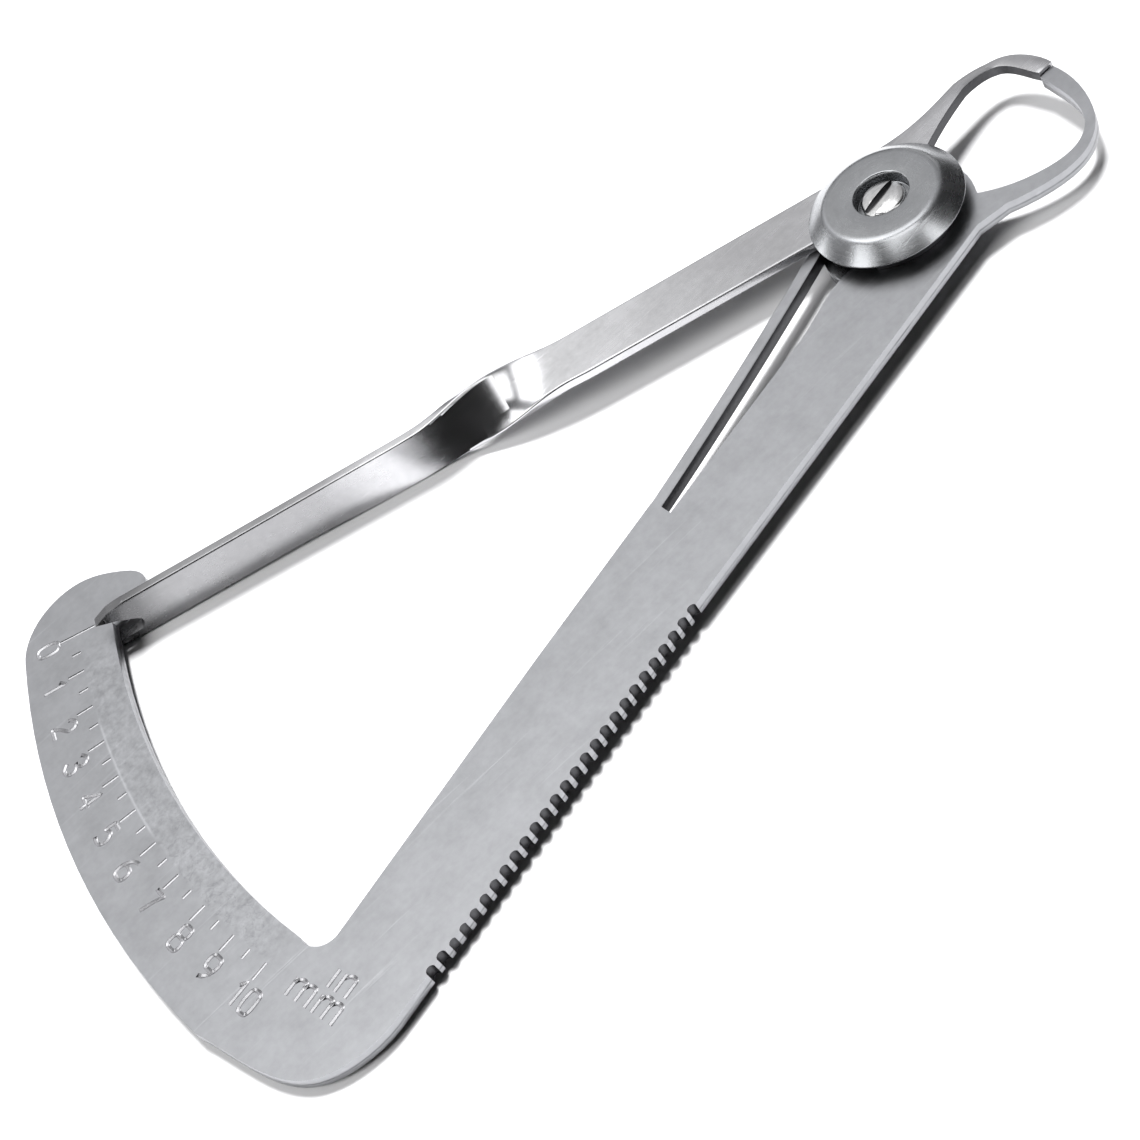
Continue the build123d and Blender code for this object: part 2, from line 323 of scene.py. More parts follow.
        share = product(slope(*polishAndPaintedLight["rise"], 0, 1), slope(*polishAndPaintedLight["fall"], 1, 0))
        rough = product(rough, spread(share, 0, 1, 1, polishAndPaintedLight["rough"]))
        paintedLight = slope(*polishAndPaintedLight["paintedLightFrom"], *polishAndPaintedLight["paintedLight"])
        for start, end, level in polishAndPaintedLight["drops"]:
            paintedLight = product(paintedLight, slope(start, end, 1, level))
        inputs = {0: surface, "Scale": paintedLight}
        surface = addNode(tree, "ShaderNodeVectorMath", inputs, operation="SCALE").outputs["Vector"]
    inputs = {"Strength": look["bump"], "Distance": 0.02 * mm, "Height": height}
    bump = addNode(tree, "ShaderNodeBump", inputs)
    tree.links.new(surface, shader.inputs["Base Color"])
    tree.links.new(rough, shader.inputs["Roughness"])
    tree.links.new(bump.outputs["Normal"], shader.inputs["Normal"])
    return steel


plateLook = {
    "colour": (0.365, 0.37, 0.385), "rough": (0.30, 0.40),
    "grainAngle": 13, "grainLength": 0.12, "grainScale": 3000, "cloudScale": 300,
    "mottle": 0.07, "grainTone": 0.025, "scratchTone": 0.10, "bump": 0.16,
    "shear": {"height": 2.18, "half": 0.13, "tone": 0.6},
    # the rubbed band, with a painted highlight along its rim
    "worn": {
        "inner": 70.5, "radius": 77.35, "band": (-8.5, 21), "line": (4.5, 15), "scribble": (-9, 6),
        "haze": 0.14, "lift": 0.03, "paintedHighlight": 0.40,
    },
}
pointerLook = {
    "colour": (0.42, 0.42, 0.43), "rough": (0.22, 0.30),
    "grainAngle": 160.6, "grainLength": 0.08, "grainScale": 3000, "cloudScale": 260,
    "mottle": 0.07, "grainTone": 0.03, "scratchTone": 0.08, "bump": 0.12,
    # beside the polished stretch: painted sheen along the arm, painted shade on the strip and the fork's end
    "polishAndPaintedLight": {
        "angle": 160.605, "rise": (27, 31), "fall": (42, 47), "rough": 0.72,
        "paintedLightFrom": (12, 27), "paintedLight": (1.0, 1.52), "drops": [(46, 53, 0.54), (67.5, 71.0, 0.55)],
    },
}
# the disc's flat top carries painted shade
discLook = {
    "colour": (0.46, 0.47, 0.485), "rough": (0.22, 0.30),
    "grainAngle": 0, "ringLength": 0.6, "grainScale": 5000, "cloudScale": 420,
    "mottle": 0.06, "grainTone": 0.04, "scratchTone": 0.08, "bump": 0.12, "paintedShadeTop": 0.64,
}
screwLook = {
    "colour": (0.56, 0.56, 0.56), "rough": (0.16, 0.24),
    "grainAngle": 80, "grainLength": 0.1, "grainScale": 5000, "cloudScale": 800,
    "mottle": 0.10, "grainTone": 0.08, "scratchTone": 0.2, "bump": 0.25,
}
# the stamped marks' steel is lighter than the plate's, partly as painted highlight; the plate's bevels also
# get it as a painted edge highlight
markAndSheenLook = {
    "colour": (0.50, 0.50, 0.515), "rough": (0.20, 0.28),
    "grainAngle": 30, "grainLength": 0.3, "grainScale": 6000, "cloudScale": 1500,
    "mottle": 0.1, "grainTone": 0.05, "scratchTone": 0.1, "bump": 0.2,
}
# painted shade: near-black steel for cut walls that stand in shade (the notches, the tongue's slit wall, the
# screw's slot, inside the jaw) and for what lies under the front disc
paintedShadeLook = {
    "colour": (0.09, 0.09, 0.095), "rough": (0.34, 0.50),
    "grainAngle": 0, "grainLength": 0.4, "grainScale": 5000, "cloudScale": 900,
    "mottle": 0.12, "grainTone": 0.10, "scratchTone": 0.1, "bump": 0.25,
}
plateSteel = groundSteel("plateSteel", plateLook)
pointerSteel = groundSteel("pointerSteel", pointerLook)
discSteel = groundSteel("discSteel", discLook)
screwSteel = groundSteel("screwSteel", screwLook)
markAndSheenSteel = groundSteel("markAndSheenSteel", markAndSheenLook)
paintedShadeSteel = groundSteel("paintedShadeSteel", paintedShadeLook)
print("steel finishes made")


def newPiece(name, mesh):
    piece = bpy.data.objects.new(name, mesh)
    scene.collection.objects.link(piece)
    return piece


# Make a piece of a drawn shape, with its faces pointing outwards.
def pieceOf(name, shape, steel):
    bmesh.ops.recalc_face_normals(shape, faces=shape.faces)
    mesh = bpy.data.meshes.new(name)
    shape.to_mesh(mesh)
    shape.free()
    mesh.materials.append(steel)
    return newPiece(name, mesh)


# Turn what the modifiers show into the piece's own mesh.
def settle(piece):
    bpy.context.view_layer.update()
    mesh = bpy.data.meshes.new_from_object(piece.evaluated_get(bpy.context.evaluated_depsgraph_get()))
    piece.modifiers.clear()
    piece.data = mesh


# A skin over closed rings of points, these in metres, with a flat face at each end.
def skinned(name, rings, steel):
    shape = bmesh.new()
    rows = [[shape.verts.new(point) for point in ring] for ring in rings]
    for first, second in zip(rows, rows[1:]):
        for i in range(len(first)):
            j = (i + 1) % len(first)
            shape.faces.new((first[i], first[j], second[j], second[i]))
    shape.faces.new(rows[0][::-1])
    shape.faces.new(rows[-1])
    return pieceOf(name, shape, steel)


def prism(name, outline, low, high, steel):
    return skinned(name, [[metres(x, y, height) for x, y in outline] for height in (low, high)], steel)


# A turned piece: the profile (radius, height) goes once round the pivot axis. A radius of 0 closes it.
def lathe(name, profile, turns, steel):
    shape = bmesh.new()
    angles = [2 * pi * i / turns for i in range(turns)]
    rings = []
    for radius, height in profile:
        if radius < 1e-6:
            rings.append([shape.verts.new(metres(0, 0, height))])
        else:
            rings.append([shape.verts.new(metres(radius * cos(a), radius * sin(a), height)) for a in angles])
    pairs = list(zip(rings, rings[1:]))
    if len(rings[0]) > 1 and len(rings[-1]) > 1:
        pairs.append((rings[-1], rings[0]))
    for first, second in pairs:
        for i in range(turns):
            j = (i + 1) % turns
            if len(first) == 1:
                shape.faces.new((first[0], second[i], second[j]))
            elif len(second) == 1:
                shape.faces.new((first[i], first[j], second[0]))
            else:
                shape.faces.new((first[i], first[j], second[j], second[i]))
    return pieceOf(name, shape, steel)


# Round the corners of a profile with short arcs. A corner's third value is its own radius.
def rounded(profile, radius, closed=True, steps=4):
    result = []
    count = len(profile)
    for i, corner in enumerate(profile):
        if not closed and i in (0, count - 1):
            result.append(corner)
            continue
        here = Vector(corner[:2])
        back = Vector(profile[i - 1][:2]) - here
        ahead = Vector(profile[(i + 1) % count][:2]) - here
        cut = min(corner[2] if len(corner) > 2 else radius, back.length * 0.45, ahead.length * 0.45)
        start, end = here + back.normalized() * cut, here + ahead.normalized() * cut
        for k in range(steps + 1):
            t = k / steps
            result.append(tuple((1 - t) ** 2 * start + 2 * t * (1 - t) * here + t * t * end))
    return result


def shade(piece, sharpAngle, flatTop=False):
    mesh = piece.data
    mesh.polygons.foreach_set("use_smooth", [True] * len(mesh.polygons))
    mesh.set_sharp_from_angle(angle=radians(sharpAngle))
    if flatTop:
        for face in mesh.polygons:
            if abs(face.normal.z) > 0.9995:
                face.use_smooth = False
    mesh.update()


# Faces that chosen() names get another steel.
def paintFaces(piece, steel, chosen):
    names = [material.name for material in piece.data.materials]
    if steel.name not in names:
        piece.data.materials.append(steel)
        names.append(steel.name)
    for face in piece.data.polygons:
        if chosen(face):
            face.material_index = names.index(steel.name)


# Bevel the edges that are sharper than the angle, apart from those that skip() names.
def bevel(piece, width, segments, skip, angle=30):
    shape = bmesh.new()
    shape.from_mesh(piece.data)
    layers = shape.edges.layers.float
    weight = layers.get("bevel_weight_edge") or layers.new("bevel_weight_edge")
    for edge in shape.edges:
        sharp = len(edge.link_faces) == 2 and edge.calc_face_angle(0) > radians(angle)
        edge[weight] = 1.0 if sharp and not skip(edge) else 0.0
    shape.to_mesh(piece.data)
    shape.free()
    cut = piece.modifiers.new("edge", "BEVEL")
    cut.limit_method = "WEIGHT"
    cut.width = width * mm
    cut.segments = segments
    cut.use_clamp_overlap = True
    cut.miter_outer = "MITER_SHARP"
    settle(piece)


def cutAway(piece, tool, own=False):
    cut = piece.modifiers.new("cut", "BOOLEAN")
    cut.operation = "DIFFERENCE"
    cut.solver = "EXACT"
    cut.object = tool
    cut.use_self = own
    cut.material_mode = "TRANSFER"
    settle(piece)
    bpy.data.objects.remove(tool)


# The longest closed outline of a flat CAD node at one height.
def outlineOf(node, height):
    shape = bmesh.new()
    shape.from_mesh(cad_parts[node].data)
    bmesh.ops.remove_doubles(shape, verts=shape.verts, dist=1e-6)
    ways = {}
    for edge in shape.edges:
        ends = list(edge.verts)
        if all(abs(v.co.z - height * mm) < 2e-6 for v in ends) and edge.calc_face_angle(0) > 0.5:
            for near, far in (ends, ends[::-1]):
                ways.setdefault(near.index, []).append(far.index)
    places = {v.index: (v.co.x / mm, v.co.y / mm) for v in shape.verts}
    shape.free()
    loops = []
    while ways:
        start = next(iter(ways))
        loop, here = [], start
        while here in ways:
            nexts = ways.pop(here)
            loop.append(places[here])
            here = next((spot for spot in nexts if spot in ways), start)
        loops.append(loop)
    return max(loops, key=len)


# An empty tree with named inputs: the tree, their identifiers and the group's input values.
def newTree(name, inputs):
    tree = bpy.data.node_groups.new(name, "GeometryNodeTree")
    face = tree.interface
    face.new_socket("Geometry", in_out="INPUT", socket_type="NodeSocketGeometry")
    sockets = {
        key: face.new_socket(key, in_out="INPUT", socket_type="NodeSocket" + kind).identifier
        for key, kind in inputs.items()
    }
    face.new_socket("Geometry", in_out="OUTPUT", socket_type="NodeSocketGeometry")
    return tree, sockets, tree.nodes.new("NodeGroupInput").outputs


# The end of a tree: copies of one shape on points, made real and given their steel.
def endTree(tree, steel, spots):
    copies = addNode(tree, "GeometryNodeInstanceOnPoints", spots)
    real = addNode(tree, "GeometryNodeRealizeInstances", {"Geometry": copies.outputs["Instances"]})
    inputs = {"Geometry": real.outputs["Geometry"], "Material": steel}
    painted = addNode(tree, "GeometryNodeSetMaterial", inputs)
    addNode(tree, "NodeGroupOutput", {"Geometry": painted.outputs["Geometry"]})


# Notch cutters of the serration, in a row along one edge. The last ones stand further out.
def notchRowTree():
    tree, sockets, given = newTree("notchRow", {
        "Count": "Int", "Start": "Vector", "Step": "Vector", "Radius": "Float", "Height": "Float",
        "Fade From": "Float", "Fade To": "Float", "Outwards": "Vector", "Steel": "Material",
    })
    inputs = {"Count": given["Count"], "Start Location": given["Start"], "Offset": given["Step"]}
    line = addNode(tree, "GeometryNodeMeshLine", inputs, mode="OFFSET")
    index = addNode(tree, "GeometryNodeInputIndex").outputs[0]
    inputs = {"Value": index, "From Min": given["Fade From"], "From Max": given["Fade To"]}
    fade = addNode(tree, "ShaderNodeMapRange", inputs, interpolation_type="SMOOTHSTEP")
    back = addNode(tree, "ShaderNodeMath", {0: index, 1: given["Fade To"]}, operation="LESS_THAN")
    inputs = {0: fade.outputs["Result"], 1: back.outputs[0]}
    share = addNode(tree, "ShaderNodeMath", inputs, operation="MULTIPLY")
    inputs = {0: given["Outwards"], "Scale": share.outputs[0]}
    shift = addNode(tree, "ShaderNodeVectorMath", inputs, operation="SCALE")
    inputs = {"Geometry": line.outputs["Mesh"], "Offset": shift.outputs[0]}
    spots = addNode(tree, "GeometryNodeSetPosition", inputs)
    inputs = {"Vertices": 20, "Radius": given["Radius"], "Depth": given["Height"]}
    notch = addNode(tree, "GeometryNodeMeshCylinder", inputs)
    endTree(tree, given["Steel"], {"Points": spots.outputs["Geometry"], "Instance": notch.outputs["Mesh"]})
    return tree, sockets


# Scale marks as short bars on an arc about the pivot.
def markArcTree():
    tree, sockets, given = newTree("markArc", {
        "Count": "Int", "First": "Float", "Step": "Float", "Radius": "Float", "Length": "Float",
        "Thickness": "Float", "Height": "Float", "Steel": "Material",
    })
    line = addNode(tree, "GeometryNodeMeshLine", {"Count": given["Count"]})
    index = addNode(tree, "GeometryNodeInputIndex").outputs[0]
    inputs = {0: index, 1: given["Step"], 2: given["First"]}
    angle = addNode(tree, "ShaderNodeMath", inputs, operation="MULTIPLY_ADD").outputs[0]

    def onArc(way):
        share = addNode(tree, "ShaderNodeMath", {0: angle}, operation=way).outputs[0]
        inputs = {0: share, 1: given["Radius"]}
        return addNode(tree, "ShaderNodeMath", inputs, operation="MULTIPLY").outputs[0]

    inputs = {"X": onArc("COSINE"), "Y": onArc("SINE"), "Z": given["Height"]}
    place = addNode(tree, "ShaderNodeCombineXYZ", inputs)
    inputs = {"Geometry": line.outputs["Mesh"], "Position": place.outputs[0]}
    spots = addNode(tree, "GeometryNodeSetPosition", inputs)
    inputs = {"Vertices": 16, "Radius": given["Thickness"], "Depth": given["Length"]}
    stick = addNode(tree, "GeometryNodeMeshCylinder", inputs)
    inputs = {"Geometry": stick.outputs["Mesh"], "Rotation": (0, pi / 2, 0)}
    bar = addNode(tree, "GeometryNodeTransform", inputs)
    turn = addNode(tree, "ShaderNodeCombineXYZ", {"Z": angle})
    endTree(tree, given["Steel"], {
        "Points": spots.outputs["Geometry"], "Instance": bar.outputs["Geometry"], "Rotation": turn.outputs[0],
    })
    return tree, sockets


def fromTree(name, treeAndSockets, values):
    tree, sockets = treeAndSockets
    piece = newPiece(name, bpy.data.meshes.new(name))
    grow = piece.modifiers.new("grow", "NODES")
    grow.node_group = tree
    for key, value in values.items():
        grow[sockets[key]] = value
    settle(piece)
    return piece


# scale lever: a stamped plate with the CAD node's outline, but with its own notches and tongue seam
scalePlate = {
    "low": 1.70, "high": 2.90, "edge": 0.09, "bore": 1.80,
    "tongueRoot": (-30.95, -5.42), "rootWay": (0.955, 0.297), "pocketReach": 0.62, "tongueWidth": 1.10,
    "serrationFrom": (-34.87, -15.59), "serrationTo": (-71.3, -24.3),
    "serrationAlong": (0.2, 34.9), "serrationInside": (-0.1, 0.6),
    "notches": 27, "notchPitch": 1.28, "notchRadius": 0.43, "notchDepth": 0.42, "toolHeight": 3,
    "fadeFrom": 16, "fadeTo": 25, "fadeOut": 0.24,
}
root = Vector(scalePlate["tongueRoot"])
rootWay = Vector(scalePlate["rootWay"]).normalized()
rootSide = Vector((-rootWay.y, rootWay.x))
seamLeft = root + rootSide * scalePlate["tongueWidth"] / 2
seamRight = root - rootSide * scalePlate["tongueWidth"] / 2
edgeStart, edgeEnd = Vector(scalePlate["serrationFrom"]), Vector(scalePlate["serrationTo"])
edgeWay = (edgeEnd - edgeStart).normalized()
edgeOut = Vector((-edgeWay.y, edgeWay.x))
if edgeOut.y > 0:
    edgeOut = -edgeOut

smoothRim = []
pocketAt = None
alongLow, alongHigh = scalePlate["serrationAlong"]
insideLow, insideHigh = scalePlate["serrationInside"]
for x, y in outlineOf("scale_lever", scalePlate["high"]):
    spot = Vector((x, y))
    along = (spot - edgeStart).dot(edgeWay)
    inside = -(spot - edgeStart).dot(edgeOut)
    if alongLow < along < alongHigh and insideLow < inside < insideHigh:
        continue
    if (spot - root).length < scalePlate["pocketReach"]:
        if pocketAt is None:
            pocketAt = len(smoothRim)
        continue
    smoothRim.append((x, y))
before = Vector(smoothRim[pocketAt - 1])
seam = [tuple(seamLeft), tuple(seamRight)]
leftFirst = (before - seamLeft).length < (before - seamRight).length or before.x < root.x - 3
smoothRim[pocketAt:pocketAt] = seam if leftFirst else seam[::-1]

scaleLever = prism("scaleLeverPlate", smoothRim, scalePlate["low"], scalePlate["high"], plateSteel)
pitch = scalePlate["notchPitch"]
notchOut = scalePlate["notchRadius"] - scalePlate["notchDepth"]
notchStart = edgeStart + edgeWay * pitch / 2 + edgeOut * notchOut
# the notch cutters leave painted shade on the notch walls
notches = fromTree("notchCutters", notchRowTree(), {
    "Count": scalePlate["notches"],
    "Start": metres(*notchStart, (scalePlate["low"] + scalePlate["high"]) / 2),
    "Step": metres(*edgeWay * pitch, 0),
    "Radius": scalePlate["notchRadius"] * mm,
    "Height": scalePlate["toolHeight"] * mm,
    "Fade From": float(scalePlate["fadeFrom"]),
    "Fade To": float(scalePlate["fadeTo"]),
    "Outwards": metres(*edgeOut * scalePlate["fadeOut"], 0),
    "Steel": paintedShadeSteel,
})
cutAway(scaleLever, notches)


# Only the rim's top and bottom edges are broken, and not where the tongue joins the plate.
def notOnRim(edge):
    upright = abs(edge.verts[0].co.z - edge.verts[1].co.z) > 1e-6
    ends = [v.co.xy / mm for v in edge.verts]
    return upright or all(min((end - seamLeft).length, (end - seamRight).length) < 0.02 for end in ends)


bevel(scaleLever, scalePlate["edge"], 2, notOnRim)
# painted highlight: the plate's bevel faces take the lighter mark steel
paintFaces(scaleLever, markAndSheenSteel, lambda face: 0.15 < face.normal.z < 0.97)
boreProfile = [(0, 0), (scalePlate["bore"], 0), (scalePlate["bore"], 5), (0, 5)]
cutAway(scaleLever, lathe("boreTool", boreProfile, 64, plateSteel))
print("scale plate:", len(scaleLever.data.polygons), "faces")

marks = {
    "zeroAngle": 157.0, "step": 3.2, "millimetres": 10, "zeroRadius": (75.8, 79.3),
    "longRadius": (77.5, 79.1), "shortRadius": (77.5, 78.4), "tickThickness": 0.20, "tickLift": 0.12,
    "strokeThickness": 0.25, "strokeLift": 0.15, "letterGap": 0.32, "digitRadius": 80.5, "digitHeight": 2.1,
    "digitAngles": [157.1, 160.3, 163.8, 166.9, 170.0, 173.1, 176.3, 179.5, 183.0, 186.1, 189.4],
    "letterHeight": 1.55, "unitAngle": -77.5, "unitRows": {"in": (-73.27, -18.67), "mm": (-75.63, -18.0)},
}
# strokes of the stamped figures: width in heights, then open runs and closed loops
zeroLoop = [(0.28, 1.0), (0.0, 0.94), (0.0, 0.06), (0.28, 0.0), (0.56, 0.06), (0.56, 0.94)]
stem = [(0.10, 0.0), (0.10, 1.0)]
strokes = {
    "0": (0.56, [], [zeroLoop]),
    "1": (0.30, [[(0.02, 0.76), (0.24, 1.0), (0.24, 1.0), (0.24, 0.0)]], []),
    "2": (0.58, [[(0.03, 0.76), (0.10, 1.04), (0.52, 1.06), (0.60, 0.66),
                  (0.25, 0.38), (0.02, 0.0), (0.02, 0.0), (0.58, 0.0)]], []),
    "3": (0.58, [[(0.03, 0.84), (0.20, 1.08), (0.58, 0.98), (0.54, 0.58), (0.22, 0.54)],
                 [(0.24, 0.54), (0.60, 0.52), (0.64, 0.06), (0.26, -0.08), (0.0, 0.18)]], []),
    "4": (0.58, [[(0.42, 0.0), (0.42, 1.0), (0.42, 1.0), (0.0, 0.30), (0.0, 0.30), (0.60, 0.30)]], []),
    "5": (0.56, [[(0.52, 1.0), (0.10, 1.0), (0.10, 1.0), (0.06, 0.56), (0.06, 0.56),
                  (0.40, 0.72), (0.64, 0.36), (0.46, -0.06), (0.02, 0.06)]], []),
    "6": (0.56, [[(0.50, 0.98), (0.12, 0.90), (-0.02, 0.40)]],
          [[(0.28, 0.58), (-0.02, 0.54), (-0.02, 0.02), (0.28, -0.02), (0.58, 0.02), (0.58, 0.54)]]),
    "7": (0.54, [[(0.0, 1.0), (0.54, 1.0), (0.54, 1.0), (0.34, 0.56), (0.20, 0.0)]], []),
    "8": (0.56, [], [[(0.28, 1.02), (0.02, 1.0), (0.02, 0.56), (0.28, 0.53), (0.54, 0.56), (0.54, 1.0)],
                     [(0.28, 0.53), (-0.02, 0.50), (-0.02, 0.0), (0.28, -0.02), (0.58, 0.0), (0.58, 0.50)]]),
    "9": (0.56, [[(0.06, 0.02), (0.44, 0.10), (0.58, 0.60)]],
          [[(0.28, 1.02), (-0.02, 0.98), (-0.02, 0.46), (0.28, 0.42), (0.58, 0.46), (0.58, 0.98)]]),
    "i": (0.20, [stem], []),
    "n": (0.95, [stem, [(0.10, 0.72), (0.30, 1.04), (0.84, 1.06), (0.84, 0.60), (0.84, 0.0)]], []),
    "m": (1.60, [stem, [(0.10, 0.72), (0.26, 1.04), (0.80, 1.06), (0.80, 0.60), (0.80, 0.0)],
                 [(0.80, 0.72), (0.96, 1.04), (1.50, 1.06), (1.50, 0.60), (1.50, 0.0)]], []),
}


# Rounded strokes that are pressed a little into the plate's top. The way is that in which the text reads.
def figureTool(text, centre, way, height):
    rightWay = Vector((cos(radians(way)), sin(radians(way))))
    upWay = Vector((-rightWay.y, rightWay.x))
    line = bpy.data.curves.new("figure" + text, "CURVE")
    line.dimensions = "3D"
    line.bevel_depth = marks["strokeThickness"] * mm
    line.bevel_resolution = 2
    line.use_fill_caps = True
    line.resolution_u = 4
    top = scalePlate["high"] + marks["strokeLift"]
    gap = marks["letterGap"]
    left = -(sum(strokes[letter][0] for letter in text) + gap * (len(text) - 1)) / 2
    for letter in text:
        wide, openRuns, loops = strokes[letter]
        for stretch in openRuns + loops:
            run = line.splines.new("NURBS")
            run.points.add(len(stretch) - 1)
            for point, (x, y) in zip(run.points, stretch):
                spot = Vector(centre) + rightWay * ((left + x) * height) + upWay * ((y - 0.5) * height)
                point.co = (*metres(*spot, top), 1)
            run.order_u = 3
            run.use_cyclic_u = stretch in loops
            run.use_endpoint_u = stretch not in loops
        left += wide + gap
    drawn = newPiece("figure" + text, line)
    mesh = bpy.data.meshes.new_from_object(drawn.evaluated_get(bpy.context.evaluated_depsgraph_get()))
    bpy.data.objects.remove(drawn)
    mesh.materials.clear()
    mesh.materials.append(markAndSheenSteel)
    return newPiece("figureTool", mesh)


markTree = markArcTree()
firstAngle, step = marks["zeroAngle"], marks["step"]
for tickName, count, first, (inner, outer) in [
    ("zeroLine", 1, firstAngle, marks["zeroRadius"]),
    ("millimetreTicks", marks["millimetres"], firstAngle + step, marks["longRadius"]),
    ("halfTicks", marks["millimetres"], firstAngle + step / 2, marks["shortRadius"]),
]:
    cutAway(scaleLever, fromTree(tickName, markTree, {
        "Count": count,
        "First": radians(first),
        "Step": radians(step),
        "Radius": (inner + outer) / 2 * mm,
        "Length": (outer - inner) * mm,
        "Thickness": marks["tickThickness"] * mm,
        "Height": (scalePlate["high"] + marks["tickLift"]) * mm,
        "Steel": markAndSheenSteel,
    }))
for value, angle in enumerate(marks["digitAngles"]):
    spot = Vector((cos(radians(angle)), sin(radians(angle)))) * marks["digitRadius"]
    cutAway(scaleLever, figureTool(str(value), spot, angle + 90, marks["digitHeight"]), own=True)
for word, spot in marks["unitRows"].items():
    cutAway(scaleLever, figureTool(word, spot, marks["unitAngle"], marks["letterHeight"]), own=True)
print("scale marks cut:", len(scaleLever.data.polygons), "faces")
shade(scaleLever, 32, flatTop=True)
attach(scaleLever, "scale_body")
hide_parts("scale_lever")

# tongue: an arc of even width from its root in the plate to its round tip under the front disc
tongue = {
    "root": (-30.95, -5.42), "middle": (-18.0, -1.31), "tip": (-4.75, 3.45), "bendEnd": (-22.0, -2.6),
    "bendHeight": 2.3, "width": 1.10, "steps": 60, "tipSteps": 12,
}


def circleThrough(a, b, c):
    (ax, ay), (bx, by), (cx, cy) = a, b, c
    aa, bb, cc = ax**2 + ay**2, bx**2 + by**2, cx**2 + cy**2
    area = 2 * (ax * (by - cy) + bx * (cy - ay) + cx * (ay - by))
    x = (aa * (by - cy) + bb * (cy - ay) + cc * (ay - by)) / area
    y = (aa * (cx - bx) + bb * (ax - cx) + cc * (bx - ax)) / area
    return Vector((x, y)), hypot(ax - x, ay - y)


arcCentre, arcRadius = circleThrough(tongue["root"], tongue["middle"], tongue["tip"])
startAngle = atan2(tongue["root"][1] - arcCentre.y, tongue["root"][0] - arcCentre.x)
endAngle = atan2(tongue["tip"][1] - arcCentre.y, tongue["tip"][0] - arcCentre.x)
halfWidth = tongue["width"] / 2
leftSide, rightSide = [], []
for i in range(tongue["steps"] + 1):
    angle = startAngle + (endAngle - startAngle) * i / tongue["steps"]
    out = Vector((cos(angle), sin(angle)))
    leftWidth = halfWidth if out.y > 0 else -halfWidth
    leftSide.append(tuple(arcCentre + out * (arcRadius + leftWidth)))
    rightSide.append(tuple(arcCentre + out * (arcRadius - leftWidth)))
leftSide[0], rightSide[0] = tuple(seamLeft), tuple(seamRight)
tip = Vector(tongue["tip"])
tipWay = (Vector(leftSide[-1]) - tip).normalized()
tipAhead = Vector((tipWay.y, -tipWay.x))
if tipAhead.x < 0:
    tipAhead = -tipAhead
noseAngles = [pi * k / tongue["tipSteps"] for k in range(1, tongue["tipSteps"])]
nose = [tuple(tip + (tipWay * cos(a) + tipAhead * sin(a)) * halfWidth) for a in noseAngles]
tongueOutline = leftSide + nose + rightSide[::-1]
tonguePiece = prism("springTongue", tongueOutline, scalePlate["low"], scalePlate["high"], plateSteel)
bevel(tonguePiece, scalePlate["edge"], 2, notOnRim)
# painted shade on the tongue's wall that faces the slit
paintFaces(tonguePiece, paintedShadeSteel, lambda face: face.normal.xy.dot(-rootSide) > 0.8)
shade(tonguePiece, 32, flatTop=True)
bendStart = metres(*tongue["root"], tongue["bendHeight"])
bendEnd = metres(*tongue["bendEnd"], tongue["bendHeight"])
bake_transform(tonguePiece, "scale_body", "tongue_body", start=bendStart, end=bendEnd)
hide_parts("spring_tongue")
print("tongue made")

# pointer lever: a flat bar that turns on edge, with a fork at its end. Pairs are distances along its arm.
pointer = {
    "angle": 160.605, "offset": 3.40, "thickness": 0.95, "middle": 3.405, "corner": 0.17, "step": 0.4,
    "rootCut": 3.2, "rootThinner": 0.02, "rootSpan": (6, 8), "hubRadius": 6.15, "hubSeen": 5.70,
    "jawMiddle": (12.0, 0.0), "edge": 0.10, "hubEdgeFrom": 6.0, "forkEdge": 0.06, "forkEdgeFrom": 60,
    "flat": (3.0, 27.0), "flatWidths": (5.40, 5.24), "turn": (28.8, 43.2),
    "twistWidth": 4.80, "twistNarrow": (27.0, 35), "stripWidth": 4.50, "stripNarrow": (46, 57.0),
    "hump": {"up": (27.0, 33), "down": (36, 43), "shift": 0.16, "rise": 0.06},
    "spread": {"up": (37, 45), "down": (46, 57.0), "width": 0.16, "drop": 0.22},
    "hollow": {"up": (35, 40), "down": (42, 52), "angle": 23},
    "stripDrop": 0.35, "stripSink": (33, 46), "stripEnd": 75.4,
    "plateLow": 1.70, "plateHigh": 2.90, "slotPlay": 0.14, "forkStart": 69.5, "forkSlotEnd": 71.4,
    "forkTip": 74.9, "upperLip": 1.50, "lowerLipEnd": 74.4,
}
armWay = Vector((cos(radians(pointer["angle"])), sin(radians(pointer["angle"]))))
armSide = Vector((armWay.y, -armWay.x))
armAxis = Vector((*armWay, 0))


def ease(value, start, end):
    share = min(max((value - start) / (end - start), 0), 1)
    return share * share * (3 - 2 * share)


# 0, then 1 between the two slopes, then 0 again
def hill(value, look):
    return ease(value, *look["up"]) * (1 - ease(value, *look["down"]))


